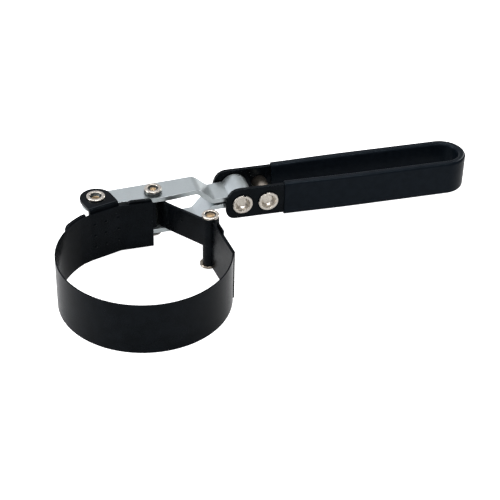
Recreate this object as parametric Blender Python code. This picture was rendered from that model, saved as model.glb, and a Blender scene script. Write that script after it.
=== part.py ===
"""Swivel-handle oil filter wrench: a steel band loop closed by a two-plate lever with a tilting U handle.

Metres, +Z up along the loop's axis. Everything is laid out from the centre of the loop, at the height of
the band's lower rim, and the whole wrench hangs on one empty that puts its bounding box on the origin.
The handle runs along +X. Each moving group hangs on an empty that stands on its own joint axis.
"""
import math

import bmesh
import bpy
from mathutils import Matrix, Vector

# ---------------------------------------------------------------- driving dimensions
GAP = 0.0003                      # clearance between neighbouring pieces

BAND_RADIUS = 0.0475              # outer radius of the open loop
BAND_THICKNESS = 0.0008
BAND_HEIGHT = 0.0306
KINK_ANGLE = -15.3                # degrees; here the loop runs straight on to the band pin
FLEX_ANGLE = -130.0               # degrees; the loop bends about this place when it is drawn tight
FOLD_OFFSET = 0.00055             # half the distance between the two layers of the folded end
TAIL_LENGTH = 0.036               # from the pin back to the end of the folded layer
TAIL_STEP = (0.0160, 0.0185)      # between these places the folded layer steps in onto the other
TAIL_BULGE = 0.0019               # how far out of the straight the folded layer leaves the knuckle

BRACKET_THICKNESS = 0.0018
BRACKET_START_ANGLE = 139.3       # degrees, where the bracket's left wing ends
FACET_ANGLE = 107.0               # degrees, direction of the flat that carries the ears
FACET_RADIUS = 0.0456             # from the loop's axis to the band's middle line on that flat
FACET_HALF = 0.0092
BAND_LEAVES_CIRCLE = 124.0        # degrees
BAND_END = (0.0142, 0.0458)       # where the band's middle line ends
WING_TOP = 0.0310
END_WING_TOP = 0.0319             # the wing on the side of the band's end stands higher
EAR_WIDTH = 0.0180
EAR_THICKNESS = 0.0020
EAR_BEND = 0.0018                 # outside radius of the bend between ear and bracket
NOTCH_WIDTHS = (0.0026, 0.0050)   # on the left and on the right of the ears
NOTCH_DEPTH = 0.0026
SEAM = 0.00012                    # keeps joined faces of ears and wings out of one plane

MID_HEIGHT = 0.0190               # height of the lever's and the handle's middle plane
PIVOT_OUT = 0.0109                # from the band's middle line out to the lever's pivot
LINK_PIN = (0.0162, 0.0550)
BAND_PIN = (0.0421, 0.0244)
SWIVEL = (0.0673, 0.0616)

PLATE_THICKNESS = 0.0028
PLATE_SPREAD = 0.0091             # from the middle plane to a plate's inner face, at the pivots
PLATE_END_RADIUS = 0.0080
TANG_INNER = 0.0008               # from the middle plane to a plate's inner face, at the tang
BEND_START = 0.0417               # the plates' S bend starts and ends at these places along X
BEND_END = 0.0502
EYE_INNER = 0.0049
EYE_WIDTH = 0.0170
EYE_END_ANGLE = 4.0               # degrees above the middle plane, where a plate's curl ends

STRAP_THICKNESS = 0.0014
STRAP_EYE = 0.0040                # middle-line radius of the strap's rolled eyes
STRAP_BEND = 0.0012               # middle-line radius where an eye bends into the straight run
STRAP_NEAR_OFFSET = 0.0016        # the straight run passes this far behind the link pin
STRAP_LEVEL_RUN = 0.0105          # the run stays level until it is clear of the plates
STRAP_RISE = 0.0030               # then it rises this far to the band pin

RIVET_SHANK = 0.0030
RIVET_HEAD = 0.0052
RIVET_HEAD_THICKNESS = 0.0009
BAND_PIN_HEAD = 0.0049
BAND_PIN_FOOT = 0.0016            # thickness of its lower head, below the band's rim
BAND_PIN_NECK = 0.0026            # where the strap's eye turns
BAND_PIN_TOP = 0.0012             # thickness of its upper head
COLLAR_RADIUS = 0.0052
COLLAR_THICKNESS = 0.0018
SPACER_RADIUS = 0.0046

STRIP_THICKNESS = 0.0025          # handle strip
HANDLE_HALF_HEIGHT = 0.0096
ARM_HALF_FRONT = 0.0119           # half the handle's width over the bare arms, at the swivel
ARM_HALF_REAR = 0.01285           # the same from where the grip is widest
SPLAY_START = 0.0850              # along X
SPLAY_END = 0.1350
HANDLE_BEND_X = 0.1936            # centre of the round end
NEAR_ARM_START = 0.0577
FAR_ARM_START = 0.0551
GRIP_START = 0.0920
GRIP_WALL = 0.00075
HANDLE_RIVET_SHANK = 0.0037
HANDLE_RIVET_HEAD = 0.0059
HANDLE_RIVET_THICKNESS = 0.0009
REAR_RIVET_X = 0.0826
BUSH_WALL = 0.0006

ROUND_STEPS = 32
LOOP_STEP = 5.0                   # degrees for each segment of the band

MIDDLE_RADIUS = BAND_RADIUS - BAND_THICKNESS / 2
HALF_BAND = BAND_THICKNESS / 2
PLATE_MIDDLE = PLATE_SPREAD + PLATE_THICKNESS / 2
STRAP_HALF_HEIGHT = PLATE_SPREAD - GAP
KNUCKLE_HIGH = MID_HEIGHT - STRAP_HALF_HEIGHT + STRAP_RISE - GAP
FOOT = GAP + BAND_PIN_FOOT        # what stands below the rim
GRIP_OUT = GAP + GRIP_WALL
HANDLE_END = HANDLE_BEND_X + ARM_HALF_REAR + GRIP_OUT
HANDLE_FAR_SIDE = SWIVEL[1] + ARM_HALF_REAR + GRIP_OUT
LOOP_CENTRE = (-(HANDLE_END - BAND_RADIUS) / 2, -(HANDLE_FAR_SIDE - BAND_RADIUS) / 2)


# ---------------------------------------------------------------- small geometry helpers
def polar(radius, degrees):
    angle = math.radians(degrees)
    return Vector((radius * math.cos(angle), radius * math.sin(angle)))


def arc(centre, radius, start, end, step=LOOP_STEP):
    """Points on an arc, from one angle to the other in degrees, both ends included."""
    count = max(2, math.ceil(abs(end - start) / step))
    return [Vector(centre) + polar(radius, start + (end - start) * i / count) for i in range(count + 1)]


def angle_of(vector):
    return math.degrees(math.atan2(vector.y, vector.x))


def turned_left(vector):
    return Vector((-vector.y, vector.x))


# ---------------------------------------------------------------- materials
def material(name, colour, metallic, roughness):
    found = bpy.data.materials.get(name) or bpy.data.materials.new(name)
    found.use_nodes = True
    shader = found.node_tree.nodes["Principled BSDF"]
    shader.inputs["Base Color"].default_value = (*colour, 1.0)
    shader.inputs["Metallic"].default_value = metallic
    shader.inputs["Roughness"].default_value = roughness
    return found


def black_paint():
    return material("black_paint", (0.012, 0.013, 0.017), 0.0, 0.35)


def zinc():
    return material("zinc_plate", (0.62, 0.66, 0.69), 1.0, 0.42)


def nickel():
    return material("nickel", (0.78, 0.74, 0.68), 1.0, 0.30)


def dark_steel():
    return material("dark_steel", (0.16, 0.17, 0.17), 1.0, 0.45)


def vinyl():
    return material("black_vinyl", (0.014, 0.018, 0.026), 0.0, 0.48)


# ---------------------------------------------------------------- building pieces
def empty(name, place, parent=None):
    guide = bpy.data.objects.new(name, None)
    guide.empty_display_size = 0.01
    bpy.context.collection.objects.link(guide)
    guide.location = place
    if parent:
        guide.parent = parent
    return guide


def add_object(name, bm, finish, parent, joint_place):
    """Turn a bmesh drawn about the loop's centre into an object whose origin is its joint's axis."""
    bmesh.ops.recalc_face_normals(bm, faces=bm.faces)
    mesh = bpy.data.meshes.new(name)
    bm.to_mesh(mesh)
    bm.free()
    mesh.transform(Matrix.Translation(-Vector(joint_place)))
    mesh.shade_smooth()
    mesh.set_sharp_from_angle(angle=math.radians(35))
    mesh.materials.append(finish)
    piece = bpy.data.objects.new(name, mesh)
    bpy.context.collection.objects.link(piece)
    piece.parent = parent
    return piece


def strip_bmesh(path, thickness, low, high, plane="XY", across=0.0):
    """A strip of sheet that follows a path edge-on. low and high are one value, or one for each point.

    In plane XY the strip stands on edge and low and high are heights. In plane XZ the path is a side
    view, and low and high are places along Y.
    """
    bm = bmesh.new()
    count = len(path)
    lows = low if isinstance(low, list) else [low] * count
    highs = high if isinstance(high, list) else [high] * count
    rows = []
    for i, point in enumerate(path):
        before = (point - path[i - 1]).normalized() if i > 0 else (path[1] - point).normalized()
        after = (path[i + 1] - point).normalized() if i < count - 1 else before
        middle = (before + after).normalized()
        reach = thickness / 2 / max(0.3, middle.dot(before))
        side = turned_left(middle) * reach
        row = []
        for corner, level in ((point + side, lows[i]), (point - side, lows[i]),
                              (point - side, highs[i]), (point + side, highs[i])):
            if plane == "XY":
                row.append(bm.verts.new((corner.x, corner.y, level)))
            else:
                row.append(bm.verts.new((corner.x, level, corner.y)))
        rows.append(row)
    for row, following in zip(rows, rows[1:]):
        for k in range(4):
            bm.faces.new((row[k], row[(k + 1) % 4], following[(k + 1) % 4], following[k]))
    bm.faces.new(rows[0])
    bm.faces.new(rows[-1])
    return bm


def prism_bmesh(outline, low, high):
    bm = bmesh.new()
    bottom = bm.faces.new([bm.verts.new((p.x, p.y, low)) for p in outline])
    grown = bmesh.ops.extrude_face_region(bm, geom=[bottom])
    lifted = [item for item in grown["geom"] if isinstance(item, bmesh.types.BMVert)]
    bmesh.ops.translate(bm, verts=lifted, vec=(0, 0, high - low))
    return bm


def box_bmesh(corner, opposite):
    outline = [Vector((corner[0], corner[1])), Vector((opposite[0], corner[1])),
               Vector((opposite[0], opposite[1])), Vector((corner[0], opposite[1]))]
    return prism_bmesh(outline, corner[2], opposite[2])


def turned_bmesh(profile, centre, axis="Z"):
    """A turned piece. The profile is a closed outline of (radius, place along the axis) pairs."""
    bm = bmesh.new()
    ring = [bm.verts.new((radius, 0, along)) for radius, along in profile]
    edges = [bm.edges.new((ring[i], ring[(i + 1) % len(ring)])) for i in range(len(ring))]
    bmesh.ops.spin(bm, geom=ring + edges, cent=(0, 0, 0), axis=(0, 0, 1),
                   angle=math.tau, steps=ROUND_STEPS, use_merge=True)
    bmesh.ops.remove_doubles(bm, verts=bm.verts, dist=1e-7)
    bmesh.ops.dissolve_degenerate(bm, edges=bm.edges, dist=1e-7)
    if axis == "Y":
        bmesh.ops.rotate(bm, verts=bm.verts, cent=(0, 0, 0), matrix=Matrix.Rotation(-math.pi / 2, 3, "X"))
    bmesh.ops.translate(bm, verts=bm.verts, vec=centre)
    return bm


def tube_profile(inner, outer, start, end):
    return [(inner, start), (outer, start), (outer, end), (inner, end)]


def rivet_profile(shank, head, thickness, start, end, recess, depth):
    """A rivet with a flat flange and a drilled recess at each end; start and end are its outer faces."""
    chamfer = thickness * 0.3
    return [(0.0, start + depth), (recess, start + depth), (recess, start + chamfer),
            (recess + chamfer, start), (head - chamfer, start), (head, start + chamfer),
            (head, start + thickness), (shank, start + thickness),
            (shank, end - thickness), (head, end - thickness), (head, end - chamfer),
            (head - chamfer, end), (recess + chamfer, end), (recess, end - chamfer),
            (recess, end - depth), (0.0, end - depth)]


def round_cutter_bmesh(centre, radius, start, end, axis="Z"):
    return turned_bmesh([(0.0, start), (radius, start), (radius, end), (0.0, end)], centre, axis)


def shape_with(piece, bm, operation, joint_place):
    """Cut, join or keep with a hidden tool shape, through a Boolean modifier."""
    tool = add_object(f"tool_{piece.name}_{len(piece.modifiers)}", bm, piece.data.materials[0],
                      piece.parent, joint_place)
    tool.hide_render = True
    tool.display_type = "WIRE"
    modifier = piece.modifiers.new(operation.lower(), "BOOLEAN")
    modifier.operation = operation
    modifier.object = tool
    modifier.solver = "EXACT"


# ---------------------------------------------------------------- the band
def facet_points():
    """The band's middle line on the flat that carries the ears, from left to right."""
    outward = polar(1.0, FACET_ANGLE)
    along = -turned_left(outward)
    middle = outward * FACET_RADIUS
    return middle - along * FACET_HALF, middle + along * FACET_HALF


def back_path(start_angle):
    """The middle line of the loop's anchored side, from an angle on the circle to the band's end."""
    left, right = facet_points()
    circle = arc((0, 0), MIDDLE_RADIUS, start_angle, BAND_LEAVES_CIRCLE)
    return circle + [left, right, Vector(BAND_END)]


def make_anchored_band(parent, joint_place):
    gap_angle = math.degrees(GAP / 2 / MIDDLE_RADIUS)
    path = back_path(FLEX_ANGLE + 360 - gap_angle)
    bm = strip_bmesh(path, BAND_THICKNESS, 0.0, BAND_HEIGHT)
    return add_object("filter_band_anchored_side", bm, black_paint(), parent, joint_place)


def free_band_path():
    """From the end of the folded layer, round the band pin and back along the loop."""
    pin = Vector(BAND_PIN)
    kink = polar(MIDDLE_RADIUS, KINK_ANGLE)
    straight = pin - kink
    lean = math.asin(FOLD_OFFSET / straight.length)
    along = (Matrix.Rotation(lean, 2) @ straight).normalized()
    outer_side = -turned_left(along)
    roll = RIVET_SHANK + GAP + HALF_BAND
    opens = math.degrees(math.asin(TAIL_BULGE / roll))
    closes = math.degrees(math.asin(FOLD_OFFSET / roll))
    towards_loop = angle_of(-along)
    tail = [pin - along * TAIL_LENGTH + outer_side * FOLD_OFFSET,
            pin - along * TAIL_STEP[1] + outer_side * FOLD_OFFSET,
            pin - along * TAIL_STEP[0] + outer_side * TAIL_BULGE]
    rolled = arc(pin, roll, towards_loop + opens, towards_loop + 360 - closes, 15.0)
    gap_angle = math.degrees(GAP / 2 / MIDDLE_RADIUS)
    circle = arc((0, 0), MIDDLE_RADIUS, KINK_ANGLE, FLEX_ANGLE + gap_angle)
    return tail + rolled + circle


def make_free_band(parent, joint_place):
    bm = strip_bmesh(free_band_path(), BAND_THICKNESS, 0.0, BAND_HEIGHT)
    piece = add_object("filter_band_free_side", bm, black_paint(), parent, joint_place)
    pin = Vector(BAND_PIN)
    above = box_bmesh((pin.x - 0.008, pin.y - 0.0062, KNUCKLE_HIGH), (pin.x + 0.008, pin.y + 0.008, 0.04))
    shape_with(piece, above, "DIFFERENCE", joint_place)
    return piece


# ---------------------------------------------------------------- the bracket
def ear_frame():
    """Middle of the facet on the bracket's inner face, the outward direction and the direction along it."""
    outward = polar(1.0, FACET_ANGLE)
    along = -turned_left(outward)
    inner_face = outward * (FACET_RADIUS + HALF_BAND + GAP)
    return inner_face, outward, along


def channel_bmesh():
    """Wall and both ears in one C-shaped profile, as wide as the ears."""
    inner_face, outward, along = ear_frame()
    inner_face = inner_face + outward * SEAM
    top = MID_HEIGHT + PLATE_SPREAD + PLATE_THICKNESS + GAP + EAR_THICKNESS
    bottom = 2 * MID_HEIGHT - top
    tip = FACET_RADIUS + PIVOT_OUT + EAR_WIDTH / 2 - inner_face.length
    centre_top = Vector((EAR_BEND, top - EAR_BEND))
    centre_bottom = Vector((EAR_BEND, bottom + EAR_BEND))
    outline = [Vector((tip, top))]
    outline += arc(centre_top, EAR_BEND, 90, 180, 30)
    outline += arc(centre_bottom, EAR_BEND, 180, 270, 30)
    outline += [Vector((tip, bottom)), Vector((tip, bottom + EAR_THICKNESS)),
                Vector((BRACKET_THICKNESS, bottom + EAR_THICKNESS)),
                Vector((BRACKET_THICKNESS, top - EAR_THICKNESS)), Vector((tip, top - EAR_THICKNESS))]
    half = EAR_WIDTH / 2 - SEAM
    bm = prism_bmesh(outline, -half, half)
    turn = Matrix(((outward.x, 0, along.x), (outward.y, 0, along.y), (0, 1, 0))).to_4x4()
    bmesh.ops.transform(bm, matrix=turn, verts=bm.verts)
    bmesh.ops.translate(bm, verts=bm.verts, vec=inner_face.to_3d())
    return bm


def ear_outline():
    """Plan of both ears: straight sides and a round end about the lever's pivot."""
    inner_face, outward, along = ear_frame()
    pivot = outward * (FACET_RADIUS + PIVOT_OUT)
    half = EAR_WIDTH / 2
    start = angle_of(along)
    base = inner_face - outward * 0.001
    return [base - along * half] + [base + along * half] + arc(pivot, half, start, start + 180, 15)


def make_bracket(parent, joint_place):
    offset = HALF_BAND + GAP + BRACKET_THICKNESS / 2
    left, right = facet_points()
    outward = polar(1.0, FACET_ANGLE)
    end_step = Vector(BAND_END) - right
    end_normal = turned_left(end_step.normalized())
    corner = right + (outward + end_normal).normalized() * offset
    circle = arc((0, 0), MIDDLE_RADIUS + offset, BRACKET_START_ANGLE, BAND_LEAVES_CIRCLE)
    wing_end = Vector(BAND_END) + end_normal * offset
    step = (wing_end - corner).normalized()
    in_notch = corner + step * NOTCH_WIDTHS[1] / 2
    path = circle + [left + outward * offset, corner, in_notch, in_notch + step * GAP, wing_end]
    tops = [WING_TOP] * (len(path) - 2) + [END_WING_TOP] * 2
    wings = strip_bmesh(path, BRACKET_THICKNESS, [2 * MID_HEIGHT - top for top in tops], tops)
    piece = add_object("anchor_bracket", wings, black_paint(), parent, joint_place)
    inner_face, outward, along = ear_frame()
    for side, width in zip((-1, 1), NOTCH_WIDTHS):
        middle = inner_face + along * side * (EAR_WIDTH + width) / 2
        for low, high in ((WING_TOP - NOTCH_DEPTH, 0.05), (-0.01, 2 * MID_HEIGHT - WING_TOP + NOTCH_DEPTH)):
            reach = Vector((0.006, 0.006))
            half_width = along * width / 2
            outline = [middle - outward * reach.x - half_width, middle - outward * reach.x + half_width,
                       middle + outward * reach.y + half_width, middle + outward * reach.y - half_width]
            shape_with(piece, prism_bmesh(outline, low, high), "DIFFERENCE", joint_place)
    channel = add_object("tool_channel", channel_bmesh(), black_paint(), parent, joint_place)
    channel.hide_render = True
    channel.display_type = "WIRE"
    shape_with(channel, prism_bmesh(ear_outline(), -0.01, 0.05), "INTERSECT", joint_place)
    union = piece.modifiers.new("ears", "BOOLEAN")
    union.operation = "UNION"
    union.object = channel
    pivot = (outward * (FACET_RADIUS + PIVOT_OUT)).to_3d()
    shape_with(piece, round_cutter_bmesh(pivot, RIVET_SHANK + GAP, -0.01, 0.05), "DIFFERENCE", joint_place)
    return piece


# ---------------------------------------------------------------- the lever
def plate_side_path():
    """Side view of the upper plate's middle line, as (X, height above the middle plane)."""
    rise = PLATE_MIDDLE
    tang = TANG_INNER + PLATE_THICKNESS / 2
    eye = EYE_INNER + PLATE_THICKNESS / 2
    swivel_x = SWIVEL[0]
    bend = 0.0028                    # middle-line radius of the S bend
    slope = math.degrees(math.atan2(rise - tang, BEND_END - BEND_START))
    points = [Vector((-0.035, rise))]
    points += arc((BEND_START - bend * math.tan(math.radians(slope / 2)), rise - bend), bend, 90, 90 - slope, 12)
    points += arc((BEND_END + bend * math.tan(math.radians(slope / 2)), tang + bend), bend,
                  270 - slope, 270, 12)
    fillet = 0.0022                  # middle-line radius between tang and eye
    height = tang + fillet
    reach = math.sqrt((eye + fillet) ** 2 - height ** 2)
    fillet_centre = Vector((swivel_x - reach, height))
    meeting = angle_of(Vector((reach, -height)))
    points += arc(fillet_centre, fillet, 270, 360 + meeting, 18)[:-1]
    points += arc((swivel_x, 0), eye, 180 + meeting, EYE_END_ANGLE, 12)
    return points


def plate_outline(pivot):
    """Plan of a lever plate: round end about the pivot, near edge clear of the bracket, square eye."""
    half_eye = EYE_WIDTH / 2
    near_eye = SWIVEL[1] - half_eye
    far_eye = SWIVEL[1] + half_eye
    beyond = SWIVEL[0] + 0.012
    near = [Vector((-0.0046, 0.0496)), Vector((0.0140, 0.0489)), Vector((0.0250, 0.0491)),
            Vector((0.0390, 0.0515)), Vector((0.0570, near_eye)), Vector((beyond, near_eye))]
    far = [Vector((beyond, far_eye)), Vector((0.0570, far_eye)), Vector((0.0420, 0.0668))]
    end = []
    for target, side in ((far[-1], 1), (near[0], -1)):
        away = target - pivot
        tangent = angle_of(away) + side * math.degrees(math.acos(PLATE_END_RADIUS / away.length))
        end.append(tangent % 360)
    return near + far + arc(pivot, PLATE_END_RADIUS, end[0], end[1], 12)


def make_plate(name, side, parent, joint_place, pivot):
    path = [Vector((p.x, MID_HEIGHT + side * p.y)) for p in plate_side_path()]
    bm = strip_bmesh(path, PLATE_THICKNESS, 0.040, 0.080, plane="XZ")
    piece = add_object(name, bm, zinc(), parent, joint_place)
    shape_with(piece, prism_bmesh(plate_outline(pivot), -0.01, 0.05), "INTERSECT", joint_place)
    for place in (pivot, Vector(LINK_PIN)):
        shape_with(piece, round_cutter_bmesh(place.to_3d(), RIVET_SHANK + GAP, -0.01, 0.05), "DIFFERENCE",
                   joint_place)
    return piece


# ---------------------------------------------------------------- the link strap
def rolled_eye(centre, along, offset, closing):
    """An eye rolled clockwise, from its free end to the bend where it runs out along a direction.

    offset is how far the straight run passes to the left of the eye's centre, seen along that direction.
    closing is the angle in degrees between the run and the free end.
    """
    heading = angle_of(along)
    reach = STRAP_EYE + STRAP_BEND
    leaves = math.degrees(math.asin((offset + STRAP_BEND) / reach))
    bend_centre = centre + polar(reach, heading + leaves)
    roll = arc(centre, STRAP_EYE, heading - closing, heading - 360 + leaves, 15)
    bend = arc(bend_centre, STRAP_BEND, heading + leaves + 180, heading + 270, 15)
    return roll + bend[1:]


def make_strap(parent, joint_place):
    """A keyhole eye on the link pin, and a plain curl on the band pin that the run meets as a tangent."""
    first = Vector(LINK_PIN)
    second = Vector(BAND_PIN)
    between = second - first
    lean = math.asin((STRAP_NEAR_OFFSET + STRAP_EYE) / between.length)
    along = (Matrix.Rotation(-lean, 2) @ between).normalized()
    near_eye = rolled_eye(first, along, STRAP_NEAR_OFFSET, 20)
    level_end = first + turned_left(along) * STRAP_NEAR_OFFSET + along * STRAP_LEVEL_RUN
    back = angle_of(-along)
    curl = arc(second, STRAP_EYE, back - 270, back + 30, 15)
    low = MID_HEIGHT - STRAP_HALF_HEIGHT
    high = MID_HEIGHT + STRAP_HALF_HEIGHT
    rises = [0.0] * (len(near_eye) + 1) + [STRAP_RISE] * len(curl)
    bm = strip_bmesh(near_eye + [level_end] + curl, STRAP_THICKNESS,
                     [low + rise for rise in rises], [high + rise for rise in rises])
    return add_object("link_strap", bm, black_paint(), parent, joint_place)


# ---------------------------------------------------------------- the handle
def handle_path(half_front, half_rear, near_steps, far_steps):
    """Plan of the handle's middle line: near arm, round end, far arm. Each arm starts at its first step."""
    centre_y = SWIVEL[1]

    def half_width(x):
        share = min(1.0, max(0.0, (x - SPLAY_START) / (SPLAY_END - SPLAY_START)))
        return half_front + (half_rear - half_front) * share

    def places(steps):
        shared = [x for x in (SPLAY_START, GRIP_START, SPLAY_END) if x > steps[-1]]
        return steps + shared

    near = [Vector((x, centre_y - half_width(x))) for x in places(near_steps)]
    far = [Vector((x, centre_y + half_width(x))) for x in reversed(places(far_steps))]
    return near + arc((HANDLE_BEND_X, centre_y), half_rear, -90, 90, 7.5) + far


def make_handle_frame(parent, joint_place):
    nose = [(0.0, 0.0024), (0.0010, 0.0055), (0.0028, 0.0082), (0.0062, HANDLE_HALF_HEIGHT)]
    half = STRIP_THICKNESS / 2
    near_steps = [NEAR_ARM_START + x for x, _ in nose]
    far_steps = [FAR_ARM_START + x for x, _ in nose]
    path = handle_path(ARM_HALF_FRONT - half, ARM_HALF_REAR - half, near_steps, far_steps)
    tapered = [height for _, height in nose]
    halves = tapered + [HANDLE_HALF_HEIGHT] * (len(path) - 2 * len(nose)) + tapered[::-1]
    bm = strip_bmesh(path, STRIP_THICKNESS, [MID_HEIGHT - h for h in halves], [MID_HEIGHT + h for h in halves])
    piece = add_object("handle_frame", bm, black_paint(), parent, joint_place)
    for x in (SWIVEL[0], REAR_RIVET_X):
        cutter = round_cutter_bmesh((x, 0, MID_HEIGHT), HANDLE_RIVET_SHANK + GAP, 0.04, 0.09, "Y")
        shape_with(piece, cutter, "DIFFERENCE", joint_place)
    return piece


def make_grip(parent, joint_place):
    half = STRIP_THICKNESS / 2
    front_half = ARM_HALF_FRONT - half
    rear_half = ARM_HALF_REAR - half
    path = handle_path(front_half, rear_half, [GRIP_START], [GRIP_START])
    tall = HANDLE_HALF_HEIGHT + GRIP_OUT
    bm = strip_bmesh(path, STRIP_THICKNESS + 2 * GRIP_OUT, MID_HEIGHT - tall, MID_HEIGHT + tall)
    piece = add_object("handle_grip", bm, vinyl(), parent, joint_place)
    before = [GRIP_START - 0.002]
    inside = handle_path(front_half, rear_half, before, before)
    room = HANDLE_HALF_HEIGHT + GAP
    core = strip_bmesh(inside, STRIP_THICKNESS + 2 * GAP, MID_HEIGHT - room, MID_HEIGHT + room)
    shape_with(piece, core, "DIFFERENCE", joint_place)
    return piece


# ---------------------------------------------------------------- rivets, spacers and collars
def make_pivot_rivet(parent, joint_place, pivot):
    reach = PLATE_SPREAD + PLATE_THICKNESS + GAP + EAR_THICKNESS + GAP + RIVET_HEAD_THICKNESS
    profile = rivet_profile(RIVET_SHANK, RIVET_HEAD, RIVET_HEAD_THICKNESS, MID_HEIGHT - reach,
                            MID_HEIGHT + reach, 0.0021, 0.0020)
    return add_object("lever_pivot_rivet", turned_bmesh(profile, pivot.to_3d()), nickel(), parent, joint_place)


def make_pivot_spacer(parent, joint_place, pivot):
    reach = PLATE_SPREAD - GAP
    profile = tube_profile(RIVET_SHANK + GAP, SPACER_RADIUS, MID_HEIGHT - reach, MID_HEIGHT + reach)
    return add_object("lever_pivot_spacer", turned_bmesh(profile, pivot.to_3d()), dark_steel(), parent,
                      joint_place)


def make_link_rivet(parent, joint_place):
    reach = (PLATE_SPREAD + PLATE_THICKNESS + GAP + COLLAR_THICKNESS + GAP + RIVET_HEAD_THICKNESS)
    profile = rivet_profile(RIVET_SHANK, RIVET_HEAD, RIVET_HEAD_THICKNESS, MID_HEIGHT - reach,
                            MID_HEIGHT + reach, 0.0021, 0.0020)
    place = Vector(LINK_PIN).to_3d()
    return add_object("link_rivet", turned_bmesh(profile, place), nickel(), parent, joint_place)


def make_collar(name, side, parent, joint_place):
    start = PLATE_SPREAD + PLATE_THICKNESS + GAP
    levels = sorted((MID_HEIGHT + side * start, MID_HEIGHT + side * (start + COLLAR_THICKNESS)))
    profile = tube_profile(RIVET_SHANK + GAP, COLLAR_RADIUS, *levels)
    place = Vector(LINK_PIN).to_3d()
    return add_object(name, turned_bmesh(profile, place), dark_steel(), parent, joint_place)


def make_band_rivet(parent, joint_place):
    head_low = MID_HEIGHT + STRAP_HALF_HEIGHT + STRAP_RISE + GAP
    top = head_low + BAND_PIN_TOP
    recess = 0.0021
    depth = 0.0020
    chamfer = RIVET_HEAD_THICKNESS * 0.3
    profile = [(0.0, depth - FOOT), (recess, depth - FOOT), (recess, -FOOT), (BAND_PIN_HEAD - chamfer, -FOOT),
               (BAND_PIN_HEAD, chamfer - FOOT), (BAND_PIN_HEAD, -GAP), (RIVET_SHANK, -GAP),
               (RIVET_SHANK, KNUCKLE_HIGH), (BAND_PIN_NECK, KNUCKLE_HIGH), (BAND_PIN_NECK, head_low),
               (BAND_PIN_HEAD, head_low), (BAND_PIN_HEAD, top - chamfer), (BAND_PIN_HEAD - chamfer, top),
               (recess + chamfer, top), (recess, top - chamfer), (recess, top - depth), (0.0, top - depth)]
    place = Vector(BAND_PIN).to_3d()
    return add_object("band_rivet", turned_bmesh(profile, place), nickel(), parent, joint_place)


def make_handle_rivet(name, x, parent, joint_place):
    reach = ARM_HALF_FRONT + GAP + HANDLE_RIVET_THICKNESS
    profile = rivet_profile(HANDLE_RIVET_SHANK, HANDLE_RIVET_HEAD, HANDLE_RIVET_THICKNESS, -reach, reach,
                            0.0028, 0.0028)
    place = (x, SWIVEL[1], MID_HEIGHT)
    return add_object(name, turned_bmesh(profile, place, "Y"), nickel(), parent, joint_place)


def make_handle_tube(name, x, finish, parent, joint_place):
    inner = HANDLE_RIVET_SHANK + GAP
    reach = ARM_HALF_FRONT - STRIP_THICKNESS - GAP
    profile = tube_profile(inner, inner + BUSH_WALL, -reach, reach)
    place = (x, SWIVEL[1], MID_HEIGHT)
    return add_object(name, turned_bmesh(profile, place, "Y"), finish, parent, joint_place)


# ---------------------------------------------------------------- the whole wrench
def build():
    for thing in list(bpy.data.objects):
        bpy.data.objects.remove(thing, do_unlink=True)

    pivot = polar(FACET_RADIUS + PIVOT_OUT, FACET_ANGLE)
    flex = polar(MIDDLE_RADIUS, FLEX_ANGLE).to_3d()
    lever_place = pivot.to_3d()
    link_place = Vector(LINK_PIN).to_3d()
    swivel_place = Vector((*SWIVEL, MID_HEIGHT))
    nowhere = Vector((0, 0, 0))

    wrench = empty("wrench", (*LOOP_CENTRE, FOOT))
    flex_axis = empty("band_flex_axis", flex, wrench)
    lever_axis = empty("lever_axis", lever_place, wrench)
    link_axis = empty("link_axis", link_place - lever_place, lever_axis)
    tilt_axis = empty("handle_tilt_axis", swivel_place - lever_place, lever_axis)

    make_anchored_band(wrench, nowhere)
    make_bracket(wrench, nowhere)
    make_pivot_rivet(wrench, nowhere, pivot)

    make_free_band(flex_axis, flex)
    make_band_rivet(flex_axis, flex)

    make_plate("upper_lever_plate", 1, lever_axis, lever_place, pivot)
    make_plate("lower_lever_plate", -1, lever_axis, lever_place, pivot)
    make_pivot_spacer(lever_axis, lever_place, pivot)
    make_link_rivet(lever_axis, lever_place)
    make_collar("upper_link_collar", 1, lever_axis, lever_place)
    make_collar("lower_link_collar", -1, lever_axis, lever_place)

    make_strap(link_axis, link_place)

    make_handle_frame(tilt_axis, swivel_place)
    make_grip(tilt_axis, swivel_place)
    make_handle_rivet("swivel_rivet", SWIVEL[0], tilt_axis, swivel_place)
    make_handle_tube("swivel_bush", SWIVEL[0], dark_steel(), tilt_axis, swivel_place)
    make_handle_rivet("rear_handle_rivet", REAR_RIVET_X, tilt_axis, swivel_place)
    make_handle_tube("rear_spacer_tube", REAR_RIVET_X, nickel(), tilt_axis, swivel_place)


build()
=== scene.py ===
"""The look of the swivel-handle oil filter wrench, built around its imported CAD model.

Pieces are drawn in millimetres about the loop's centre, at the height of the band's lower rim, and turned
into metres in the frame's own place. The handle runs along +X, and the loop's axis is +Z.
"""
import math

import bmesh
import bpy
from mathutils import Matrix, Vector


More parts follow.
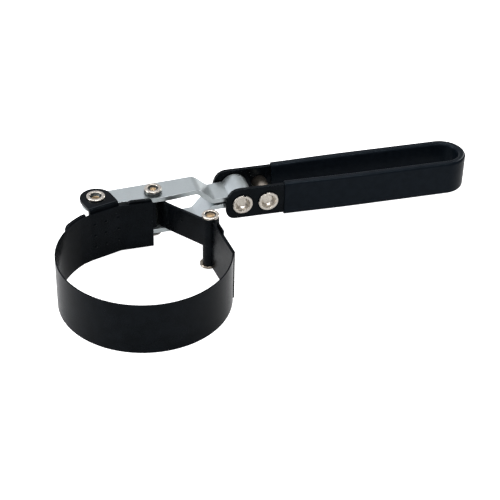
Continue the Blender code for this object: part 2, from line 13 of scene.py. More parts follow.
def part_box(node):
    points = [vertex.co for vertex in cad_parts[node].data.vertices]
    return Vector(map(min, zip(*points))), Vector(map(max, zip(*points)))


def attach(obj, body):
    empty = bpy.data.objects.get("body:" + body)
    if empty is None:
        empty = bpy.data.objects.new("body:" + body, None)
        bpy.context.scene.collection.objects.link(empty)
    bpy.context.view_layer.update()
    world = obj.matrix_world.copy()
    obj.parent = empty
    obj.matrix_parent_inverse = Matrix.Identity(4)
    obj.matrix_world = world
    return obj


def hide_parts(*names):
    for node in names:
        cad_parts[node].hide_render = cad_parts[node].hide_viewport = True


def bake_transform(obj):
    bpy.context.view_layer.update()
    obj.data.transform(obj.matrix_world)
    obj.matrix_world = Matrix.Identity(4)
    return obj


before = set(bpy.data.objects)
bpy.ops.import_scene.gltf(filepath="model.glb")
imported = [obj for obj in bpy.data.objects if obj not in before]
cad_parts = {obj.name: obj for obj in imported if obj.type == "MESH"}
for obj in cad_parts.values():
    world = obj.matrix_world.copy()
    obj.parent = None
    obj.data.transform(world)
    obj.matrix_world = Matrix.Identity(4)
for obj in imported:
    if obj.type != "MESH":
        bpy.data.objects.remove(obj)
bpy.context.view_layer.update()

# ---------------------------------------------------------------- sizes, in millimetres and degrees
MM = 0.001
BAND_RADIUS = 47.5                # of the loop's outside
BAND_THICKNESS = 0.8
BAND_HEIGHT = 30.6
MIDDLE_RADIUS = BAND_RADIUS - BAND_THICKNESS / 2
MID_HEIGHT = 19.0                 # the lever, the link and the handle are centred at this height
KINK_ANGLE = -15.3                # where the band leaves the circle for the band rivet
FACET_ANGLE = 107.0               # the direction that the flat behind the ears faces
FACET_RADIUS = 45.6
FACET_HALF = 9.2
BAND_LEAVES_CIRCLE = 124.0        # where the circle ends, at the flat's side
BAND_END = Vector((14.2, 45.8))
BRACKET_OFFSET = 1.6              # from the band's middle surface to the bracket's
PLATE_END = 8.0                   # radius of the plates' round ends
PLATE_THICKNESS = 2.8
PLATE_RISE = 10.5                 # from the middle height to a plate's middle surface, at the pivots
RIVET_HOLE = 3.3
ARM_HOLE = 4.0
ROUND_STEPS = 64


def cad_middle(*nodes):
    """The middle of one or more CAD nodes' common box, in metres."""
    corners = [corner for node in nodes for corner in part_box(node)]
    low = Vector([min(c[i] for c in corners) for i in range(3)])
    high = Vector([max(c[i] for c in corners) for i in range(3)])
    return (low + high) / 2


# the loop's centre at the band's lower rim, in the world's metres
LOOP = Vector((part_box("filter_band_anchored_side")[0].x + BAND_RADIUS * MM,
               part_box("filter_band_free_side")[0].y + BAND_RADIUS * MM,
               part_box("filter_band_free_side")[0].z))


def in_loop_frame(place):
    """A place in the world's metres, as millimetres about the loop's centre."""
    return (place - LOOP) / MM


PIVOT = in_loop_frame(cad_middle("lever_pivot_rivet")).xy
LINK_PIN = in_loop_frame(cad_middle("link_rivet")).xy
BAND_PIN = in_loop_frame(cad_middle("band_rivet")).xy
SWIVEL = in_loop_frame(cad_middle("swivel_rivet")).xy
REAR = in_loop_frame(cad_middle("rear_handle_rivet")).xy


# ---------------------------------------------------------------- plane geometry
def polar(radius, degrees):
    """The point at a radius and a direction, seen from the centre."""
    angle = math.radians(degrees)
    return Vector((radius * math.cos(angle), radius * math.sin(angle)))


def arc(centre, radius, start, end, step=2.5):
    """Points along an arc, at most step degrees apart."""
    count = max(2, math.ceil(abs(end - start) / step))
    return [Vector(centre) + polar(radius, start + (end - start) * i / count) for i in range(count + 1)]


def angle_of(vector):
    return math.degrees(math.atan2(vector.y, vector.x))


def turned_left(vector):
    return Vector((-vector.y, vector.x))


def rounded(points, radius, steps=6):
    """The same polyline with its corners rounded; a corner that turns too little stays."""
    least_turn = math.radians(2)
    most_of_side = 0.45               # the share of the shorter side that a corner may take
    path = [points[0]]
    for before, corner, after in zip(points, points[1:], points[2:]):
        back = (before - corner).normalized()
        ahead = (after - corner).normalized()
        turn = math.pi - back.angle(ahead)
        if turn < least_turn:
            path.append(corner)
            continue
        shorter = min((before - corner).length, (after - corner).length)
        reach = min(radius * math.tan(turn / 2), shorter * most_of_side)
        first = corner + back * reach
        last = corner + ahead * reach
        for i in range(steps + 1):
            t = i / steps
            path.append(first * (1 - t) ** 2 + corner * 2 * t * (1 - t) + last * t ** 2)
    path.append(points[-1])
    return path


# ---------------------------------------------------------------- materials
def node_material(name, colour, metallic, roughness, specular=0.5, specular_tint=(1, 1, 1)):
    material = bpy.data.materials.new(name)
    material.use_nodes = True
    shader = material.node_tree.nodes["Principled BSDF"]
    shader.inputs["Base Color"].default_value = (*colour, 1)
    shader.inputs["Metallic"].default_value = metallic
    shader.inputs["Roughness"].default_value = roughness
    shader.inputs["Specular IOR Level"].default_value = specular
    shader.inputs["Specular Tint"].default_value = (*specular_tint, 1)
    return material


def noise(material, scale, detail, stretch=(1, 1, 1)):
    """A noise texture over the piece's own coordinates."""
    nodes = material.node_tree.nodes
    links = material.node_tree.links
    place = nodes.new("ShaderNodeTexCoord")
    mapping = nodes.new("ShaderNodeMapping")
    mapping.inputs["Scale"].default_value = stretch
    texture = nodes.new("ShaderNodeTexNoise")
    texture.inputs["Scale"].default_value = scale
    texture.inputs["Detail"].default_value = detail
    links.new(place.outputs["Object"], mapping.inputs["Vector"])
    links.new(mapping.outputs["Vector"], texture.inputs["Vector"])
    return texture


def vary_roughness(material, texture, low, high):
    """The noise's middle range, spread over a range of roughness."""
    nodes = material.node_tree.nodes
    links = material.node_tree.links
    ranged = nodes.new("ShaderNodeMapRange")
    ranged.inputs["From Min"].default_value = 0.3
    ranged.inputs["From Max"].default_value = 0.7
    ranged.inputs["To Min"].default_value = low
    ranged.inputs["To Max"].default_value = high
    links.new(texture.outputs["Fac"], ranged.inputs["Value"])
    links.new(ranged.outputs["Result"], nodes["Principled BSDF"].inputs["Roughness"])


def tint(material, texture, first, second, start=0.35, end=0.65):
    """A base colour that the noise moves between two colours."""
    nodes = material.node_tree.nodes
    links = material.node_tree.links
    ramp = nodes.new("ShaderNodeValToRGB")
    ramp.color_ramp.elements[0].position = start
    ramp.color_ramp.elements[0].color = (*first, 1)
    ramp.color_ramp.elements[1].position = end
    ramp.color_ramp.elements[1].color = (*second, 1)
    links.new(texture.outputs["Fac"], ramp.inputs["Fac"])
    links.new(ramp.outputs["Color"], nodes["Principled BSDF"].inputs["Base Color"])


def bump(material, texture, distance, strength):
    nodes = material.node_tree.nodes
    links = material.node_tree.links
    relief = nodes.new("ShaderNodeBump")
    relief.inputs["Distance"].default_value = distance
    relief.inputs["Strength"].default_value = strength
    links.new(texture.outputs["Fac"], relief.inputs["Height"])
    links.new(relief.outputs["Normal"], nodes["Principled BSDF"].inputs["Normal"])


def black_paint():
    """Baked black enamel: dense and glossy, with a faint orange peel."""
    material = node_material("black_enamel", (0.002, 0.0025, 0.003), metallic=0.0, roughness=0.2,
                             specular=0.07, specular_tint=(0.75, 0.88, 1.0))
    tint(material, noise(material, 160, 3), (0.0012, 0.0016, 0.0020), (0.0026, 0.0034, 0.0044))
    vary_roughness(material, noise(material, 420, 3), 0.16, 0.24)
    bump(material, noise(material, 900, 2), distance=0.00002, strength=0.25)
    return material


def zinc():
    """Zinc plating: a grey a little on the blue side, with a faint grain along the lever."""
    grain = (1, 3, 3)                 # the noise is drawn out along X
    material = node_material("zinc_plating", (0.42, 0.50, 0.52), metallic=0.95, roughness=0.32)
    tint(material, noise(material, 700, 4, grain), (0.43, 0.475, 0.48), (0.51, 0.555, 0.56), 0.2, 0.8)
    vary_roughness(material, noise(material, 400, 3, grain), 0.29, 0.36)
    return material


def nickel():
    """Nickel plating on the rivets, slightly warm."""
    material = node_material("nickel_plating", (0.66, 0.61, 0.53), metallic=1.0, roughness=0.24)
    tint(material, noise(material, 700, 3), (0.52, 0.48, 0.42), (0.60, 0.56, 0.50))
    vary_roughness(material, noise(material, 500, 3), 0.24, 0.34)
    bump(material, noise(material, 1200, 2), distance=0.00001, strength=0.2)
    return material


def dark_brown_nickel():
    """Dull, dark brownish nickel: the rear tube between the arms, where the darkness is painted shade, and
    the band rivet's lower head.
    """
    material = node_material("dark_brown_nickel", (0.30, 0.26, 0.21), metallic=1.0, roughness=0.30)
    tint(material, noise(material, 500, 3), (0.22, 0.19, 0.15), (0.36, 0.32, 0.27))
    return material


def bronze_recess():
    """The middles of the upright rivets' heads, warmer and duller than their plating."""
    material = node_material("rivet_recess", (0.26, 0.18, 0.10), metallic=1.0, roughness=0.38)
    tint(material, noise(material, 900, 3), (0.20, 0.14, 0.08), (0.32, 0.23, 0.14))
    return material


def dark_steel():
    """Oiled steel: the collars and the bushes; in the grooves of the upright rivets' heads its darkness is
    painted shade and grime.
    """
    material = node_material("dark_steel", (0.06, 0.065, 0.065), metallic=1.0, roughness=0.42)
    tint(material, noise(material, 800, 3), (0.04, 0.045, 0.045), (0.10, 0.105, 0.10))
    vary_roughness(material, noise(material, 600, 3), 0.35, 0.5)
    return material


def vinyl():
    """Dipped vinyl: smooth, softly shining, blue-black."""
    material = node_material("black_vinyl", (0.002, 0.003, 0.005), metallic=0.0, roughness=0.30,
                             specular=0.08, specular_tint=(0.70, 0.86, 1.0))
    tint(material, noise(material, 260, 3), (0.0018, 0.0030, 0.0046), (0.0030, 0.0046, 0.0068))
    vary_roughness(material, noise(material, 600, 3), 0.28, 0.32)
    bump(material, noise(material, 1400, 3), distance=0.00001, strength=0.2)
    return material


ENAMEL = black_paint()
ZINC = zinc()
NICKEL = nickel()
DARK_BROWN_NICKEL = dark_brown_nickel()
RECESS = bronze_recess()
STEEL_AND_PAINTED_GROOVE_SHADE = dark_steel()
VINYL = vinyl()


# ---------------------------------------------------------------- building pieces
def mesh_in_place(name, bm, material):
    """A mesh with outward faces, moved from millimetres about the loop into the world."""
    bmesh.ops.recalc_face_normals(bm, faces=bm.faces)
    mesh = bpy.data.meshes.new(name)
    bm.to_mesh(mesh)
    bm.free()
    mesh.transform(Matrix.Translation(LOOP) @ Matrix.Scale(MM, 4))
    mesh.materials.append(material)
    return mesh


def add_piece(name, bm, material, body=None, replaces=(), smooth=30):
    """A visible piece, sharp at edges over smooth degrees; without a body it is left without a parent."""
    mesh = mesh_in_place(name, bm, material)
    mesh.shade_smooth()
    mesh.set_sharp_from_angle(angle=math.radians(smooth))
    piece = bpy.data.objects.new(name, mesh)
    bpy.context.scene.collection.objects.link(piece)
    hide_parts(*replaces)
    if body:
        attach(piece, body)
    return piece


def bevel(piece, width, segments, angle=40):
    modifier = piece.modifiers.new("edges", "BEVEL")
    modifier.width = width * MM
    modifier.segments = segments
    modifier.limit_method = "ANGLE"
    modifier.angle_limit = math.radians(angle)
    modifier.use_clamp_overlap = True


def solidify(piece, thickness):
    modifier = piece.modifiers.new("sheet", "SOLIDIFY")
    modifier.thickness = thickness * MM
    modifier.offset = 0
    modifier.use_even_offset = True


def apply_modifiers(piece):
    depsgraph = bpy.context.evaluated_depsgraph_get()
    piece.data = bpy.data.meshes.new_from_object(piece.evaluated_get(depsgraph))
    piece.modifiers.clear()


def finish_mesh(piece, holes=(), smooth=35):
    """Drill the holes, given as (centre, radius, axis), apply every modifier, and weight the normals."""
    reach = 60                        # the drills' half length, past any piece
    drills = []
    for centre, radius, axis in holes:
        bm = turned_bmesh([(0, -reach), (radius, -reach), (radius, reach), (0, reach)], centre, axis)
        drill = bpy.data.objects.new("drill", mesh_in_place("drill", bm, piece.data.materials[0]))
        bpy.context.scene.collection.objects.link(drill)
        cut = piece.modifiers.new("hole", "BOOLEAN")
        cut.operation = "DIFFERENCE"
        cut.solver = "EXACT"
        cut.object = drill
        drills.append(drill)
    apply_modifiers(piece)
    for drill in drills:
        bpy.data.objects.remove(drill, do_unlink=True)
    piece.data.shade_smooth()
    piece.data.set_sharp_from_angle(angle=math.radians(smooth))
    weighted = piece.modifiers.new("normals", "WEIGHTED_NORMAL")
    weighted.keep_sharp = True
    weighted.weight = 60


def strip_bmesh(path, thickness, low, high):
    """A strip of sheet standing on edge along a plan path; low and high may be lists of heights."""
    bm = bmesh.new()
    count = len(path)
    lows = low if isinstance(low, list) else [low] * count
    highs = high if isinstance(high, list) else [high] * count
    rows = []
    for i, point in enumerate(path):
        before = (point - path[i - 1]).normalized() if i > 0 else (path[1] - point).normalized()
        after = (path[i + 1] - point).normalized() if i < count - 1 else before
        middle = (before + after).normalized()
        side = turned_left(middle) * (thickness / 2 / max(0.3, middle.dot(before)))
        left, right = point + side, point - side
        corners = ((left, lows[i]), (right, lows[i]), (right, highs[i]), (left, highs[i]))
        rows.append([bm.verts.new((corner.x, corner.y, height)) for corner, height in corners])
    for row, following in zip(rows, rows[1:]):
        for k in range(4):
            bm.faces.new((row[k], row[(k + 1) % 4], following[(k + 1) % 4], following[k]))
    bm.faces.new(rows[0])
    bm.faces.new(rows[-1])
    return bm


def grid_bmesh(rows):
    """A sheet through rows of points, all of one length."""
    bm = bmesh.new()
    made = [[bm.verts.new(point) for point in row] for row in rows]
    for row, following in zip(made, made[1:]):
        for k in range(len(row) - 1):
            bm.faces.new((row[k], row[k + 1], following[k + 1], following[k]))
    return bm


def turned_bmesh(profile, centre, axis="Z", steps=ROUND_STEPS):
    """A turned piece; the profile is a closed outline of (radius, place along the axis) pairs."""
    bm = bmesh.new()
    rings = []
    for radius, along in profile:
        if radius == 0:
            rings.append([bm.verts.new((0, 0, along))] * steps)
        else:
            rings.append([bm.verts.new((*polar(radius, 360 * k / steps), along)) for k in range(steps)])
    for ring, following in zip(rings, rings[1:] + rings[:1]):
        for k in range(steps):
            n = (k + 1) % steps
            corners = list(dict.fromkeys((ring[k], ring[n], following[n], following[k])))
            if len(corners) > 2:
                bm.faces.new(corners)
    if axis == "Y":
        bmesh.ops.rotate(bm, verts=bm.verts, cent=(0, 0, 0), matrix=Matrix.Rotation(-math.pi / 2, 3, "X"))
    bmesh.ops.translate(bm, verts=bm.verts, vec=centre)
    return bm


# ---------------------------------------------------------------- the band
def facet():
    """The two ends of the flat behind the ears, in plan."""
    outward = polar(1, FACET_ANGLE)
    along = -turned_left(outward)
    middle = outward * FACET_RADIUS
    return middle - along * FACET_HALF, middle + along * FACET_HALF


def make_band():
    """One strip from the folded end, round the band rivet and the whole loop, to the square back end."""
    fold = 0.55                       # from the line through the rivet to each layer of the doubled band
    roll, bulge = 3.9, 1.9            # radius of the knuckle, and how far out the tail meets it
    tail_length, tail_bend, tail_step = 36, 19, 15.5    # back from the rivet
    cut_below, knuckle_top = BAND_PIN.y - 6.2, 12.9     # the knuckle is lower than the band
    end_lift = 1.1                    # how much the square end's lower corner stands above the rim
    clear = 1.5                       # degrees of the circle left to the rounded corner at each end
    kink = polar(MIDDLE_RADIUS, KINK_ANGLE)
    straight = BAND_PIN - kink
    along = (Matrix.Rotation(math.asin(fold / straight.length), 2) @ straight).normalized()
    outer_side = -turned_left(along)
    opens = math.degrees(math.asin(bulge / roll))
    closes = math.degrees(math.asin(fold / roll))
    towards_loop = angle_of(-along)
    rolled = arc(BAND_PIN, roll, towards_loop + opens, towards_loop + 360 - closes, 6)
    outer_line = BAND_PIN + outer_side * fold
    tail = rounded([outer_line - along * tail_length, outer_line - along * tail_bend,
                    BAND_PIN - along * tail_step + outer_side * bulge, rolled[0]], 3)
    left, right = facet()
    circle = arc((0, 0), MIDDLE_RADIUS, KINK_ANGLE - clear, BAND_LEAVES_CIRCLE - 360 + clear)
    path, lows, highs = [], [], []

    def add(point, high=BAND_HEIGHT, low=0):
        path.append(point)
        lows.append(low)
        highs.append(high)

    def add_cut(first, last):
        """The strip steps between its full height and the knuckle's, on the way from one point to another."""
        spot = first.lerp(last, (cut_below - first.y) / (last.y - first.y))
        nudge = (last - first).normalized() * 0.01
        for point in (spot - nudge, spot + nudge):
            add(point, knuckle_top if point.y > cut_below else BAND_HEIGHT)

    for point in tail[:-1]:
        add(point)
    add_cut(tail[-2], rolled[0])
    for point in rolled:
        add(point, knuckle_top)
    add_cut(rolled[-1], kink)
    rest = rounded([rolled[-1].lerp(kink, 0.6), kink, circle[0]], 9)[1:] + circle[1:]
    for point in rest[:-1]:
        add(point)
    for point in rounded([circle[-1], left, right, right.lerp(BAND_END, 0.5), BAND_END], 7):
        share = min(1, max(0, (point.x - left.x) / (BAND_END.x - left.x)))
        add(point, low=end_lift * share)
    bm = strip_bmesh(path, BAND_THICKNESS, lows, highs)
    band = add_piece("filter_band", bm, ENAMEL,
                     replaces=("filter_band_anchored_side", "filter_band_free_side"))
    bevel(band, width=0.18, segments=2)
    finish_mesh(band)
    apply_modifiers(band)
    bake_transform(band)


def weld_marks(name, marks, body):
    """Low dimples, each at a place on a face and standing out in a direction in plan."""
    profile = [(0, 0.28), (0.35, 0.26), (0.7, 0.17), (1.0, 0.0), (1.0, -0.12), (0, -0.12)]
    bm = bmesh.new()
    for place, direction in marks:
        dome = turned_bmesh(profile, (0, 0, 0), steps=20)
        turn = direction.to_3d().to_track_quat("Z", "Y").to_matrix().to_4x4()
        bmesh.ops.transform(dome, matrix=Matrix.Translation(place) @ turn, verts=dome.verts)
        mesh = bpy.data.meshes.new("dome")
        dome.to_mesh(mesh)
        dome.free()
        bm.from_mesh(mesh)
        bpy.data.meshes.remove(mesh)
    add_piece(name, bm, ENAMEL, body, smooth=60)


def add_band_weld_marks():
    """Three rows of three on the inner face of the flat behind the ears."""
    outward = polar(1, FACET_ANGLE)
    along = -turned_left(outward)
    inner_face = outward * (FACET_RADIUS - BAND_THICKNESS / 2)
    marks = []
    for across in (-6.7, 0.0, 7.9):
        for height in (23.2, 15.8, 8.4):
            marks.append(((inner_face + along * across).to_3d() + Vector((0, 0, height)), -outward))
    weld_marks("band_weld_marks", marks, "anchored_loop")


# ---------------------------------------------------------------- the bracket
def make_bracket():
    """Wings, notches and both ears as one bent sheet: a grid with cells left out, then thickened."""
    offset, thickness = BRACKET_OFFSET, 1.8
    first_angle = 139.3               # where the bracket begins, on the circle
    ear_half, ear_bend = 9.0, 1.3
    left_notch, right_notch, notch_depth = 2.6, 5.0, 2.6
    wing_top, end_wing_top, wing_round = 31.0, 31.9, 2.4
    slack = 1e-6
    outward = polar(1, FACET_ANGLE)
    along = -turned_left(outward)
    middle = outward * (FACET_RADIUS + offset)
    left, right = facet()
    end_normal = turned_left((BAND_END - right).normalized())
    corner = right + (outward + end_normal).normalized() * offset
    circle = arc((0, 0), MIDDLE_RADIUS + offset, first_angle, BAND_LEAVES_CIRCLE)
    spots = rounded([circle[-1], left + outward * offset, corner, BAND_END + end_normal * offset], 5)
    plan = circle[:-1] + spots

    def on_plan(target):
        """The point where the plan path reaches a place measured along the facet."""
        for a, b in zip(plan, plan[1:]):
            sa = (a - middle).dot(along)
            sb = (b - middle).dot(along)
            if sa <= target <= sb:
                return a.lerp(b, (target - sa) / (sb - sa))
        return plan[-1] if target > 0 else plan[0]

    places = [(p - middle).dot(along) for p in plan]
    first, last = places[0], places[-1]
    notch_end = ear_half + right_notch
    marks = [-ear_half - left_notch, -ear_half, ear_half, notch_end]
    rounding = [0, 0.12, 0.4, 0.8, 1.3, 1.9, wing_round]
    ends = [first + d for d in rounding]
    ends += [notch_end + d for d in rounding[1:]]
    ends += [last - d for d in rounding]

    def top_at(place):
        """The wings' upper edge, round at its free corners."""
        if abs(place) <= ear_half + slack:
            return wing_top
        top = wing_top if place < 0 else end_wing_top
        inside = min(place - first, last - place, wing_round)
        if place >= notch_end - slack:
            inside = min(inside, place - notch_end)
        inside = max(inside, 0)
        return top - wing_round + math.sqrt(wing_round ** 2 - (wing_round - inside) ** 2)

    fixed = marks + ends + [-6, -3, 0, 3, 6]
    keep = [s for s in places if not -ear_half < s < ear_half and all(abs(s - m) > 0.3 for m in fixed)]
    columns = sorted(keep + fixed)
    bm = bmesh.new()
    wall = []
    for s in columns:
        top = top_at(s)
        shoulder = wing_top - notch_depth
        levels = [2 * MID_HEIGHT - top, 2 * MID_HEIGHT - shoulder, MID_HEIGHT, shoulder, top]
        wall.append([bm.verts.new((*on_plan(s), z)) for z in levels])
    for j in range(len(columns) - 1):
        centre = (columns[j] + columns[j + 1]) / 2
        notched = -ear_half - left_notch < centre < -ear_half or ear_half < centre < notch_end
        for i in range(4):
            if notched and i in (0, 3):
                continue
            bm.faces.new((wall[j][i], wall[j + 1][i], wall[j + 1][i + 1], wall[j][i + 1]))
    ear_columns = [j for j, s in enumerate(columns) if abs(s) <= ear_half + slack]
    reach = (PIVOT - middle).dot(outward)
    stations = []                     # how far out, how far past the wing's edge, and the half width
    for bent in (22.5, 45, 67.5, 90):
        corner = polar(ear_bend, bent)
        stations.append((ear_bend - corner.x, corner.y, ear_half))
    stations += [(reach * 0.5, ear_bend, ear_half), (reach, ear_bend, ear_half)]
    for turned in (12, 24, 36, 48, 58, 67, 75, 82, 87):
        tip = polar(ear_half, turned)
        stations.append((reach + tip.y, ear_bend, tip.x))
    for side, level in ((1, -1), (-1, 0)):
        edge = wing_top if side > 0 else 2 * MID_HEIGHT - wing_top
        previous = [wall[j][level] for j in ear_columns]
        for out, rise, half in stations:
            row = []
            for j in ear_columns:
                spot = middle + along * columns[j] * half / ear_half + outward * out
                row.append(bm.verts.new((spot.x, spot.y, edge + side * rise)))
            for k in range(len(row) - 1):
                bm.faces.new((previous[k], previous[k + 1], row[k + 1], row[k]))
            previous = row
    bracket = add_piece("ear_bracket", bm, ENAMEL, "anchored_loop", ("anchor_bracket",))
    solidify(bracket, thickness)
    bevel(bracket, width=0.6, segments=4, angle=50)
    finish_mesh(bracket, [((PIVOT.x, PIVOT.y, 0), RIVET_HOLE, "Z")])


# ---------------------------------------------------------------- the lever plates
def plate_side_path():
    """Side view of the upper plate from its S bend to its curl, as (X, height above the middle)."""
    tang = 2.2                        # the height between the S bend and the curl
    eye, fillet = 6.3, 2.2            # the curl's radius, and the fillet that leads into it
    start, end, bend = 41.7, 50.2, 5.0          # the S bend's corners along X, and their radius
    slope = math.degrees(math.atan2(PLATE_RISE - tang, end - start))
    shift = bend * math.tan(math.radians(slope / 2))
    points = arc((start - shift, PLATE_RISE - bend), bend, 90, 90 - slope, 6)
    points += arc((end + shift, tang + bend), bend, 270 - slope, 270, 6)
    height = tang + fillet
    reach = math.sqrt((eye + fillet) ** 2 - height ** 2)
    meeting = angle_of(Vector((reach, -height)))
    points += arc((SWIVEL.x - reach, height), fillet, 270, 360 + meeting, 9)[:-1]
    points += arc((SWIVEL.x, 0), eye, 180 + meeting, 4, 6)
    return points


def plate_outline():
    """The plate's near and far edges in plan, beyond its round end."""
    near_eye, far_eye = SWIVEL.y - 8.5, SWIVEL.y + 8.5
    tang_start, beyond = 57.0, SWIVEL.x + 12
    near = rounded([Vector((-4.6, 49.6)), Vector((14.0, 48.9)), Vector((25.0, 49.1)), Vector((39.0, 51.5)),
                    Vector((tang_start, near_eye)), Vector((beyond, near_eye))], 20)
    far = rounded([Vector((beyond, far_eye)), Vector((tang_start, far_eye)), Vector((42.0, 66.8)),
                   Vector((30.0, 65.7))], 30)
    return near, far


def span_at(outline, x):
    """Where the plate's near and far edges cross a place along X: on the round end, or on the outline."""

    def on_line(points):
        for a, b in zip(points, points[1:]):
            if a.x <= x <= b.x and b.x > a.x:
                return a.lerp(b, (x - a.x) / (b.x - a.x)).y
        raise ValueError("the outline ends before this place")

    edges = []
    for points, side in zip(outline, (-1, 1)):
        ordered = sorted(points, key=lambda p: p.x)
        away = ordered[0] - PIVOT
        tangent = angle_of(away) + side * math.degrees(math.acos(PLATE_END / away.length))
        touch = PIVOT + polar(PLATE_END, tangent)
        if x <= touch.x:
            edges.append(PIVOT.y + side * math.sqrt(max(0.0, PLATE_END ** 2 - (x - PIVOT.x) ** 2)))
        else:
            edges.append(on_line([touch] + ordered))
    return edges


def make_plate(name, side, node):
    """A sheet across the outline that follows the side view, then thickened and drilled.

    side is 1 for the upper plate and -1 for the lower one.
    """
    outline = plate_outline()
    across = 8
    stations = [Vector((PIVOT.x - PLATE_END * math.cos(math.radians(a)), PLATE_RISE))
                for a in (8, 16, 26, 36, 47, 58, 70, 80)]
    stations += [Vector((x, PLATE_RISE)) for x in (-16, -14, -11, -7, -3, 2, *range(8, 37, 4))]
    stations += plate_side_path()
    rows = []
    for station in stations:
        near, far = span_at(outline, station.x)
        height = MID_HEIGHT + side * station.y
        rows.append([(station.x, near + (far - near) * k / across, height) for k in range(across + 1)])
    plate = add_piece(name, grid_bmesh(rows), ZINC, "lever", (node,))
    solidify(plate, PLATE_THICKNESS)
    bevel(plate, width=1.0, segments=5, angle=50)
    finish_mesh(plate, [((pin.x, pin.y, 0), RIVET_HOLE, "Z") for pin in (PIVOT, LINK_PIN)])


# ---------------------------------------------------------------- the link strap
def rolled_eye(centre, along, offset, closing):
    """An eye rolled clockwise, from its free end to the bend where it runs out along a direction.

    offset is from the eye's centre to the run, and closing the angle that the free end stops short by.
    """
    eye, bend_radius = 4.0, 1.2
    heading = angle_of(along)
    reach = eye + bend_radius
    leaves = math.degrees(math.asin((offset + bend_radius) / reach))
    roll = arc(centre, eye, heading - closing, heading - 360 + leaves, 6)
    bend_centre = centre + polar(reach, heading + leaves)
    bend = arc(bend_centre, bend_radius, heading + leaves + 180, heading + 270, 10)
    return roll + bend[1:]


def make_strap():
    """A keyhole eye on the link rivet, and a plain curl on the band rivet that the run meets as a tangent."""
    thickness, bottom, top = 1.4, 10.2, 27.8
    near_offset, near_closing = 1.6, 20
    eye, level_run, rise = 4.25, 10.5, 3.0      # the curl's radius; the run is level, then rises to the curl
    between = BAND_PIN - LINK_PIN
    lean = math.asin((near_offset + eye) / between.length)
    along = (Matrix.Rotation(-lean, 2) @ between).normalized()
    near_eye = rolled_eye(LINK_PIN, along, near_offset, near_closing)
    level_end = LINK_PIN + turned_left(along) * near_offset + along * level_run
    back = angle_of(-along)
    curl = arc(BAND_PIN, eye, back - 270, back + 30, 6)
    rises = [0.0] * (len(near_eye) + 1) + [rise] * len(curl)
    path = near_eye + [level_end] + curl
    bm = strip_bmesh(path, thickness, [bottom + r for r in rises], [top + r for r in rises])
    strap = add_piece("link_strap_bent", bm, ENAMEL, "link", ("link_strap",))
    bevel(strap, width=0.3, segments=3)
    finish_mesh(strap)
    near_side = -turned_left(along)
    face = LINK_PIN + near_side * (thickness / 2 - near_offset)
    marks = [((face + along * run).to_3d() + Vector((0, 0, height)), near_side)
             for run, height in ((22.0, 21.7), (7.4, 11.6))]
    weld_marks("strap_weld_marks", marks, "link")


# ---------------------------------------------------------------- the handle
def handle_path(near_start, far_start, step):
    """Plan of the handle's middle line. Each start is the list of places along X that its arm begins with."""
    front, rear = 10.65, 11.6         # half the gap between the arms' middle lines
    splay_start, splay_end, bend_x = 85.0, 135.0, 193.6

    def half_width(x):
        share = min(1.0, max(0.0, (x - splay_start) / (splay_end - splay_start)))
        share = share * share * (3 - 2 * share)
        return front + (rear - front) * share

    def places(start):
        return start + [x for x in (85, 92, 98, 104, 110, 116, 122, 128, 135, 160, 185) if x > start[-1]]

    near = [Vector((x, SWIVEL.y - half_width(x))) for x in places(near_start)]
    far = [Vector((x, SWIVEL.y + half_width(x))) for x in reversed(places(far_start))]
    return near + arc((bend_x, SWIVEL.y), rear, -90, 90, step) + far


def make_handle_frame():
    """The long U of strip steel; its noses round off more above than below."""
    thickness, half_height = 2.5, 9.6
    near_nose, far_nose = 57.7, 55.1
    # along the nose, then how far up and down from the middle it reaches
    nose = [(0, 1.2, 4.2), (0.5, 3.4, 6.2), (1.6, 6.0, 8.0), (3.4, 8.1, 9.2),
            (5.4, 9.2, half_height), (7.6, half_height, half_height)]
    path = handle_path([near_nose + x for x, _, _ in nose], [far_nose + x for x, _, _ in nose], 6)
    plain = len(path) - 2 * len(nose)
    above = [up for _, up, _ in nose] + [half_height] * plain + [up for _, up, _ in nose[::-1]]
    below = [down for _, _, down in nose] + [half_height] * plain + [down for _, _, down in nose[::-1]]
    bm = strip_bmesh(path, thickness, [MID_HEIGHT - h for h in below], [MID_HEIGHT + h for h in above])
    steel = add_piece("handle_strip", bm, ENAMEL, "handle", ("handle_frame",))
    bevel(steel, width=0.8, segments=4, angle=50)
    finish_mesh(steel, [((pin.x, pin.y, MID_HEIGHT), ARM_HOLE, "Y") for pin in (SWIVEL, REAR)])


def rounded_section(half_width, half_height, radius, steps=5):
    """A rectangle with rounded corners, anticlockwise."""
    x, y = half_width - radius, half_height - radius
    section = []
    for centre, start in (((x, y), 0), ((-x, y), 90), ((-x, -y), 180), ((x, -y), 270)):
        section += arc(centre, radius, start, start + 90, 90 / steps)
    return section


def make_grip():
    """The dipped sleeve: a rounded section carried along the U, with a close pair of rings at each end."""
    half_width, half_height, corner_radius = 2.3, 10.65, 1.7
    near_start, far_start, lip = 92.2, 90.2, 0.6
    path = handle_path([near_start, near_start + lip], [far_start, far_start + lip], 4)
    section = rounded_section(half_width, half_height, corner_radius)
    bm = bmesh.new()
    rings = []
    for i, point in enumerate(path):
        before = path[max(0, i - 1)]
        after = path[min(len(path) - 1, i + 1)]
        side = turned_left((after - before).normalized())
        ring = []
        for s in section:
            spot = point + side * s.x
            ring.append(bm.verts.new((spot.x, spot.y, MID_HEIGHT + s.y)))
        rings.append(ring)
    for ring, following in zip(rings, rings[1:]):
        for k in range(len(ring)):
            n = (k + 1) % len(ring)
            bm.faces.new((ring[k], ring[n], following[n], following[k]))
    bm.faces.new(rings[0])
    bm.faces.new(rings[-1])
    grip = add_piece("vinyl_grip", bm, VINYL, "handle", ("handle_grip",), smooth=40)
    bevel(grip, width=0.35, segments=3, angle=60)
    finish_mesh(grip, smooth=50)


